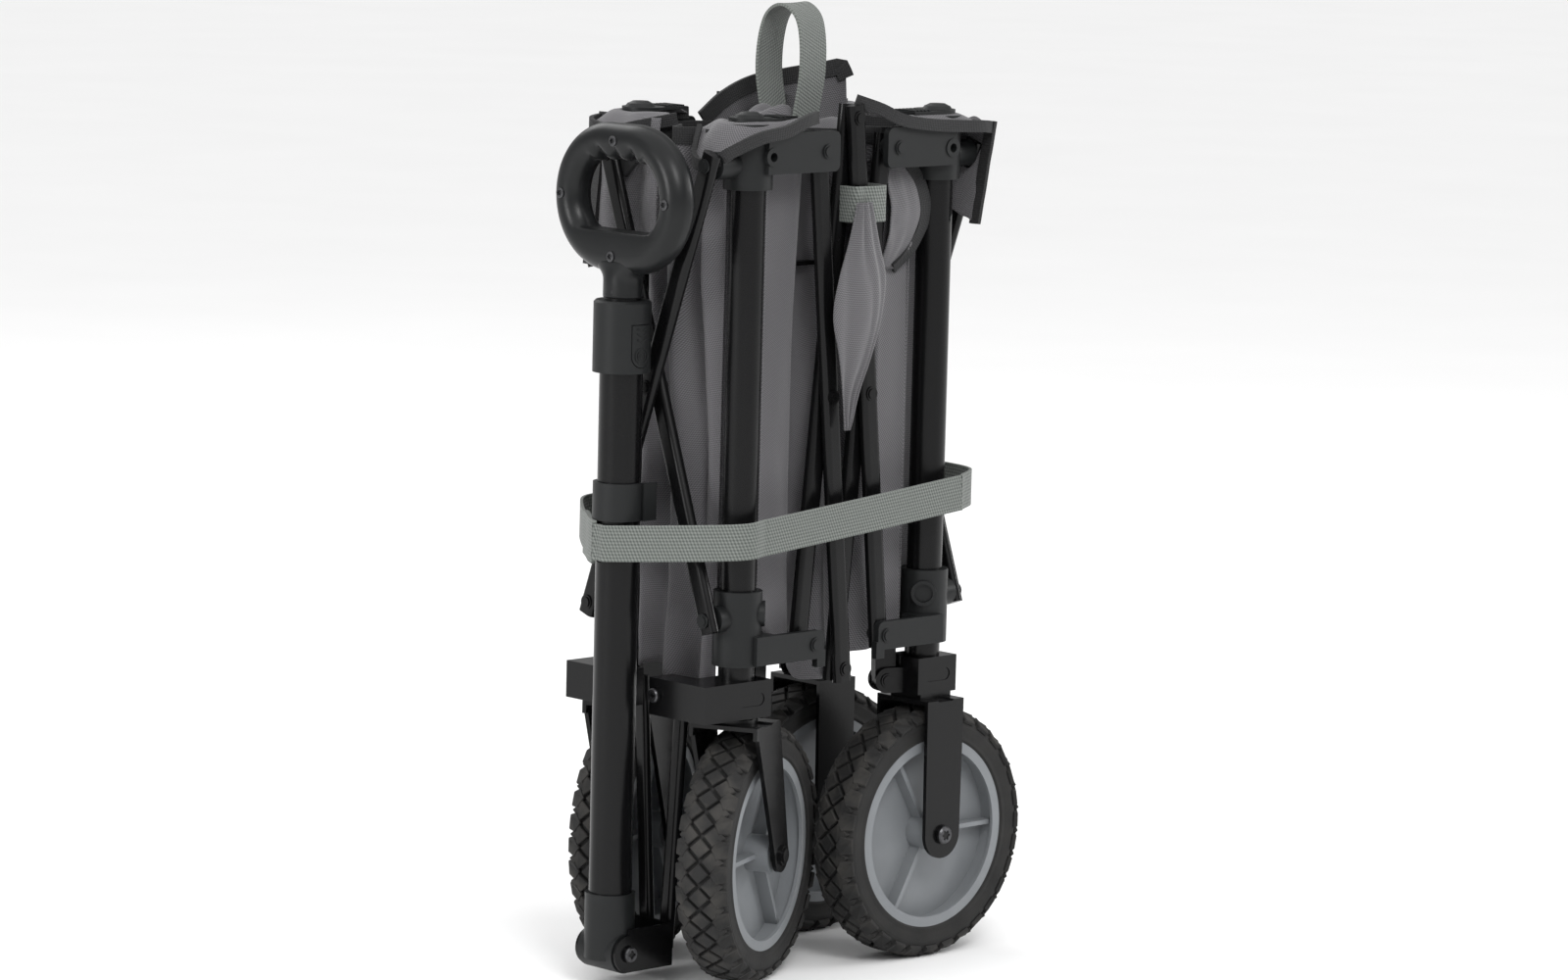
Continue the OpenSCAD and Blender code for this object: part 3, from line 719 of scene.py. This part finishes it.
def front_hanging_flap():
    """End cloth that falls outside the front right corner, behind the grip, bound along its edges."""

    def place(u, v):
        y = 15 + 63 * u
        low = 512 - 18 * u
        z = 600 + (low - 600) * v
        x = -(
            108
            + 3.5 * math.sin(3.4 * math.pi * u + 1.2 * v)
            + 12 * smooth_step(0.5, 1.0, u) * v
            + 1.5 * wobble(u * 5, v * 4, 3.3)
        )
        return (MID.x + x * MM, MID.y + y * MM, z * MM)

    made = sheet_grid("front_hanging_flap", 40, 40, place, "fabric")
    side = edge_binding(
        "front_flap_binding",
        [Vector(place(0.99, t / 30)) for t in range(31)],
        0.011,
        0.0028,
        Vector((0.3, 1, 0)),
    )
    low = edge_binding(
        "front_flap_hem", [Vector(place(0.35 + 0.65 * t / 30, 0.97)) for t in range(31)], 0.011, 0.0028
    )
    fold = [
        Vector((MID.x - 113.5 * MM, MID.y + (38 + 26 * t / 20) * MM, (563 + 9 * math.sin(t / 20 * 3.0)) * MM))
        for t in range(21)
    ]
    roll = edge_binding("front_flap_fold", fold, 0.016, 0.004)
    for obj in (made, side, low, roll):
        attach(obj, "corner_fr")


def top_edge_binding(name, place):
    """Black tape along the top edge of a panel."""
    points = [Vector(place(t / 60, 0.985)) + Vector((0, 0, 1 * MM)) for t in range(61)]
    made = edge_binding(name, points, 0.012, 0.003)
    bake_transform(made)


def floor_cloth():
    """Middle of the tub's floor, crumpled round the pull strap at the top of the bundle.

    Its flat size is read back off the finished mesh, at a nominal width: it isn't the size it was cut to.
    """

    def place(u, v):
        x, y = (2 * u - 1) * 0.072, (2 * v - 1) * 0.044
        tent = 1 - max(abs(2 * u - 1), abs(2 * v - 1)) ** 2
        ridges = math.sin(11 * u + 3 * wobble(u * 3, v * 3, 1.0))
        fold = ridges * math.cos(6 * v + 2 * wobble(u * 2, v * 3, 4.0))
        z = TOP_Z - 0.03 + 0.03 * tent + 0.011 * fold + 0.004 * wobble(u * 9, v * 9, 2.0)
        return (MID.x + x, MID.y + y, z)

    made = sheet_grid("floor_cloth", 70, 50, place, "fabric")
    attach(made, "hub")


def hanging_cloth():
    """Pointed piece of loose cloth that hangs in front of the left side's bars."""
    face_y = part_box("side_top_bar_fl")[0].y - 6 * MM
    outline = curve_points(
        [
            (-10, -5, 4),
            (-16, -3, 12),
            (-26, 0, 19),
            (-30, 1, 17),
            (-24, -1, 8),
            (-19, -8, -3),
            (-16, -13, -11),
        ],
        50,
    )

    def place(u, v):
        left, ridge, right = outline[round(v * 49)]
        left, right = min(left, ridge - 1), max(right, ridge + 1)
        x = left + (ridge - left) * u * 2 if u < 0.5 else ridge + (right - ridge) * (u * 2 - 1)
        ripple = 0.5 + 0.5 * math.cos(6 * math.pi * u + 2.5 * wobble(v * 3, 1.1))
        out = 7 * MM * (1 - abs(2 * u - 1)) ** 0.8 * math.sin(
            math.pi * min(1.0, v + 0.15)
        ) + 2.2 * MM * ripple
        return (MID.x + x * MM, face_y - out, 0.545 - 0.158 * v)

    made = sheet_grid("hanging_cloth", 24, 50, place, "fabric")
    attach(made, "top_bar_rl")


def pocket_flap():
    """Bound flap of the side pocket, bulging out beside the near rear bracket."""
    face_y = -(HALF_Y - 1 * MM)

    def place(u, v):
        wide = math.sin(math.pi * (0.12 + 0.8 * v)) ** 0.7
        x = (38 + 38 * u * wide) * MM
        out = 11 * MM * math.sin(math.pi * v) * (1 - 0.4 * u) + 1.5 * MM * wobble(u * 4, v * 5, 7.0)
        return (MID.x + x, MID.y + face_y - out, 0.574 - 0.08 * v)

    made = sheet_grid("pocket_flap", 22, 30, place, "fabric")
    edge = edge_binding(
        "pocket_flap_binding",
        [Vector(place(1.0, t / 30)) for t in range(31)],
        0.010,
        0.0022,
        up=Vector((0.7, 0, 0.3)),
    )
    for obj in (made, edge):
        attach(obj, "corner_rl")


def rear_hanging_flap():
    """End cloth that falls outside the rear left corner, bound along its edge."""
    post = POST["rl"]

    def place(u, v):
        drop = v**0.9
        x = (20 + 21 * math.sin(math.pi * min(1.0, 0.35 + 0.5 * u)) * (1 - 0.75 * drop)) * MM
        y = (-16 + 50 * u) * MM
        z = TOP_Z - 2 * MM - 0.072 * drop * (1 - 0.25 * u) + 3 * MM * wobble(u * 4, v * 4, 9.0)
        return (post.x + x, post.y + y, z)

    made = sheet_grid("rear_hanging_flap", 24, 34, place, "fabric")
    edge = edge_binding(
        "rear_flap_binding",
        [Vector(place(0.0, t / 30)) for t in range(31)],
        0.011,
        0.0024,
        up=Vector((0.2, 1, 0)),
    )
    for obj in (made, edge):
        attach(obj, "corner_rl")


# Straps -------------------------------------------------------------------------------------------
def belt_strap():
    """Belt round the folded frame and the handle, in four lengths."""
    n = HALF_Y + 28.5 * MM
    front = HANDLE.x - MID.x - 17.5 * MM
    rear = HALF_X + 34 * MM
    corner = HALF_X + 14 * MM
    slope = math.tan(math.radians(5))
    middle_z = 0.327

    def at(x, y):
        return Vector((MID.x + x, MID.y + y, middle_z + slope * x))

    near = curve_points([at(-HALF_X, -n), at(0, -n - 1 * MM), at(corner - 8 * MM, -n)], 24)
    rear_run = curve_points(
        [
            at(corner - 8 * MM, -n),
            at(rear - 4 * MM, -n + 18 * MM),
            at(rear, 0),
            at(rear - 4 * MM, n - 18 * MM),
            at(corner - 8 * MM, n),
        ],
        40,
    )
    far = curve_points([at(corner - 8 * MM, n), at(0, n + 1 * MM), at(-HALF_X, n)], 24)
    nose = curve_points(
        [
            at(-HALF_X, n),
            at(-corner - 12 * MM, n - 5 * MM),
            at(front + 5 * MM, 15 * MM),
            at(front, 0),
            at(front + 5 * MM, -15 * MM),
            at(-corner - 12 * MM, -n + 5 * MM),
            at(-HALF_X, -n),
        ],
        52,
    )
    width = 25 * MM
    thickness = 2.0 * MM
    along = dict(start=(MID.x - HALF_X, 0, 0.3), end=(MID.x + corner - 8 * MM, 0, 0.3))
    across = dict(start=(0, MID.y - n, 0.3), end=(0, MID.y + n, 0.3))
    parts = {
        "belt_strap_left": (near, ("corner_fl", "corner_rl"), along),
        "belt_strap_right": (far, ("corner_fr", "cap_rr"), along),
        "belt_strap_rear": (rear_run, ("corner_rl", "corner_rr"), across),
        "belt_strap_front": (nose, ("corner_fl", "corner_fr"), across),
    }
    for name, (route, pair, span) in parts.items():
        made = band(name, route, width, thickness)
        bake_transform(made)
        if name == "belt_strap_left":
            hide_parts("belt_strap")
    tail_route = [at(front + x * MM, y * MM) for x, y in ((-1, 4), (4, 13), (12, 24), (20, 36))]
    tail = band("belt_strap_tail", curve_points(tail_route, 14), 30 * MM, 3.2 * MM)
    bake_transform(tail)


def pull_strap():
    """Loop of webbing that stands up from the hub."""
    low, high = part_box("pull_loop")
    half = (high.y - low.y) / 2
    x = MID.x
    controls = [
        (x - 4 * MM, MID.y - half * 0.55, low.z + 2 * MM),
        (x - 3 * MM, MID.y - half * 0.8, low.z + 0.07),
        (x, MID.y - half, high.z - 0.045),
        (x + 1 * MM, MID.y - half * 0.78, high.z - 0.012),
        (x + 1 * MM, MID.y, high.z - 1 * MM),
        (x + 1 * MM, MID.y + half * 0.78, high.z - 0.012),
        (x, MID.y + half, high.z - 0.045),
        (x + 3 * MM, MID.y + half * 0.8, low.z + 0.07),
        (x + 4 * MM, MID.y + half * 0.55, low.z + 2 * MM),
    ]
    width = high.x - low.x
    made = band("pull_strap", curve_points(controls, 70), width, 2.0 * MM, up=Vector((1, 0.25, 0)))
    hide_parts("pull_loop")
    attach(made, "hub")


def bar_loop():
    """Short webbing loop round the middle bars, that the pull cloth hangs from."""
    z = 0.543
    y0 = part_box("side_top_bar_fl")[0].y - 3 * MM
    y1 = y0 + 24 * MM
    controls = [
        (2, y0),
        (12, y0 - 2 * MM),
        (22, y0 + 1 * MM),
        (23, y1),
        (12, y1 + 1 * MM),
        (-6, y1),
        (-7, y0 + 2 * MM),
        (2, y0),
    ]
    route = curve_points([(MID.x + a * MM, b, z) for a, b in controls], 50)[:-1]
    made = band("bar_loop", route, 25 * MM, 1.8 * MM, closed=True)
    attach(made, "top_bar_rl")


# Screws on the steel parts ------------------------------------------------------------------------
def fasteners():
    """Heads of the link, handle and axle screws."""
    front_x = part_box("wheel_bracket_fl")[0].x + 0.8 * MM
    link_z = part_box("handle_link_left")[1].z - 6 * MM
    for name, side, body in (("left", -1, "corner_fl"), ("right", 1, "corner_fr")):
        at = Vector((front_x, MID.y + side * 21 * MM, link_z))
        screw("link_screw_" + name, at, Vector((-1, 0, 0)), 5 * MM, 4, body, 2 * MM)
    hub_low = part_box("handle_hub")[0]
    screw(
        "handle_screw",
        Vector((HANDLE.x, hub_low.y + 1.2 * MM, 0.025)),
        Vector((0, -1, 0)),
        5.4 * MM,
        4,
        "handle_hub",
        2.2 * MM,
    )
    for c in ("rl", "rr"):
        s = -1 if c == "rl" else 1
        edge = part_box("fork_" + c)[0 if c == "rl" else 1].y
        screw(
            "axle_screw_" + c,
            Vector((POST[c].x, edge - s * 1.4 * MM, 0.09)),
            Vector((0, s, 0)),
            6.4 * MM,
            6,
            "corner_" + c,
            2 * MM,
        )


def collar_marks():
    """Chevrons and rings moulded on the collar's press tab."""
    low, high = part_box("collar_button")
    face_y = low.y + 0.2 * MM
    x, ring_z = (low.x + high.x) / 2, low.z + 8 * MM
    for k, r in enumerate((5.4, 3.4, 1.5)):
        route = [
            Vector((x + r * MM * math.cos(a), face_y, ring_z + r * MM * math.sin(a)))
            for a in [2 * math.pi * i / 28 for i in range(28)]
        ]
        made = band(
            "tab_ring_%d" % k, route, 0.8 * MM, 0.7 * MM, "bracket_plastic", closed=True, up=Vector((0, 1, 0))
        )
        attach(made, "button")
    for k in range(3):
        z = ring_z + (9.5 + 3.6 * k) * MM
        route = [
            Vector((x - 4 * MM, face_y, z + 2 * MM)),
            Vector((x, face_y, z)),
            Vector((x + 4 * MM, face_y, z + 2 * MM)),
        ]
        made = band("tab_chevron_%d" % k, route, 0.8 * MM, 0.9 * MM, "bracket_plastic", up=Vector((0, 1, 0)))
        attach(made, "button")


# Stage --------------------------------------------------------------------------------------------
def camera():
    """Camera at the photograph's angle: a long lens from the front left, a little above the wagon's top."""
    azimuth, elevation, roll = (math.radians(a) for a in (-44.05, 7.81, 1.44))
    distance, aside, height = 4.256, 0.0028, 0.3351
    back = Vector(
        (
            math.sin(azimuth) * math.cos(elevation),
            -math.cos(azimuth) * math.cos(elevation),
            math.sin(elevation),
        )
    )
    right = Vector((math.cos(azimuth), math.sin(azimuth), 0))
    data = bpy.data.cameras.new("camera")
    data.lens = 138.66
    data.sensor_width = 36
    made = bpy.data.objects.new("camera", data)
    bpy.context.scene.collection.objects.link(made)
    target = Vector((MID.x, MID.y, 0)) + right * aside + Vector((0, 0, height))
    made.rotation_mode = "QUATERNION"
    upright = (-back).to_track_quat("-Z", "Y")
    made.rotation_quaternion = upright @ Matrix.Rotation(roll, 3, "Z").to_quaternion()
    made.location = target + back * distance
    bpy.context.scene.camera = made


def stage():
    """Plain pale floor out to the horizon, a white world, four softboxes and a broad sky light."""
    floor = bpy.data.meshes.new("floor")
    reach = 60.0
    floor.from_pydata(
        [(-reach, -reach, 0), (reach, -reach, 0), (reach, reach, 0), (-reach, reach, 0)], [], [(0, 1, 2, 3)]
    )
    ground = bpy.data.objects.new("floor", floor)
    bpy.context.scene.collection.objects.link(ground)
    m = Nodes("floor", 0.7)
    m.colour(m.mix(m.noise(3), (0.86, 0.86, 0.86), (0.9, 0.9, 0.9)))
    floor.materials.append(m.mat)
    world = bpy.data.worlds.new("world")
    world.use_nodes = True
    world.node_tree.nodes["Background"].inputs[0].default_value = (1, 1, 1, 1)
    world.node_tree.nodes["Background"].inputs[1].default_value = 0.42
    bpy.context.scene.world = world
    bpy.context.scene.view_settings.view_transform = "Standard"
    for name, at, power, size in (
        ("key", (-1.2, -2.4, 2.6), 46, 1.0),
        ("fill", (2.2, -1.4, 1.2), 20, 0.7),
        ("front", (-2.6, 0.3, 1.0), 24, 0.7),
        ("back", (0.5, 2.6, 2.4), 22, 1.6),
    ):
        data = bpy.data.lights.new(name, "AREA")
        data.energy, data.size = power, size
        lamp = bpy.data.objects.new(name, data)
        lamp.location = at
        lamp.rotation_mode = "QUATERNION"
        lamp.rotation_quaternion = (Vector((0, 0, 0.3)) - Vector(at)).to_track_quat("-Z", "Y")
        bpy.context.scene.collection.objects.link(lamp)
    sky = bpy.data.lights.new("sky", "SUN")
    sky.energy, sky.angle = 2.1, math.radians(110)
    overhead = bpy.data.objects.new("sky", sky)
    overhead.rotation_euler = (math.radians(12), math.radians(-12), 0)
    bpy.context.scene.collection.objects.link(overhead)


camera()
stage()
finish_cad_nodes()
for corner in CORNERS:
    tyre(corner)
    corner_wrap(corner, 1.7 + CORNERS.index(corner))
grip()
near_panel, near_place = side_panel("side_panel_left", -1, 0.3)
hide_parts("fabric_bag")
_, far_place = side_panel("side_panel_right", 1, 2.9)
_, front_place = end_panel("end_panel_front", -1, 5.1)
_, rear_place = end_panel("end_panel_rear", 1, 7.7)
top_edge_binding("top_binding_left", near_place)
top_edge_binding("top_binding_right", far_place)
top_edge_binding("top_binding_front", front_place)
top_edge_binding("top_binding_rear", rear_place)
corner_flap(
    "fl",
    [
        (-50, 15, 3),
        (-34, 21, 1),
        (-14, 23, -5),
        (10, 22, -9),
        (27, 13, -18),
        (32, -4, -28),
        (28, -24, -26),
        (10, -38, -6),
    ],
    0.4,
)
corner_flap(
    "fr",
    [
        (-50, 4, -3),
        (-30, 22, -4),
        (0, 26, -6),
        (22, 24, -8),
        (32, 12, -10),
        (33, -8, -12),
        (28, -26, -8),
        (4, -42, -2),
    ],
    2.2,
)
corner_flap(
    "rl",
    [
        (-90, 10, 13),
        (-74, 18, 7),
        (-56, 23, -1),
        (-30, 24, -5),
        (0, 24, -7),
        (24, 23, -8),
        (40, 14, -10),
        (43, -6, -10),
        (30, -34, -4),
    ],
    4.1,
    inwards=(36, 8),
    dome=1.0,
)
corner_flap(
    "rr", [(-50, 18, 2), (-20, 25, -6), (10, 24, -12), (30, 14, -16), (34, -8, -14), (20, -34, -6)], 6.3
)
far_flap()
front_hanging_flap()
floor_cloth()
hanging_cloth()
pocket_flap()
rear_hanging_flap()
belt_strap()
pull_strap()
bar_loop()
fasteners()
collar_marks()
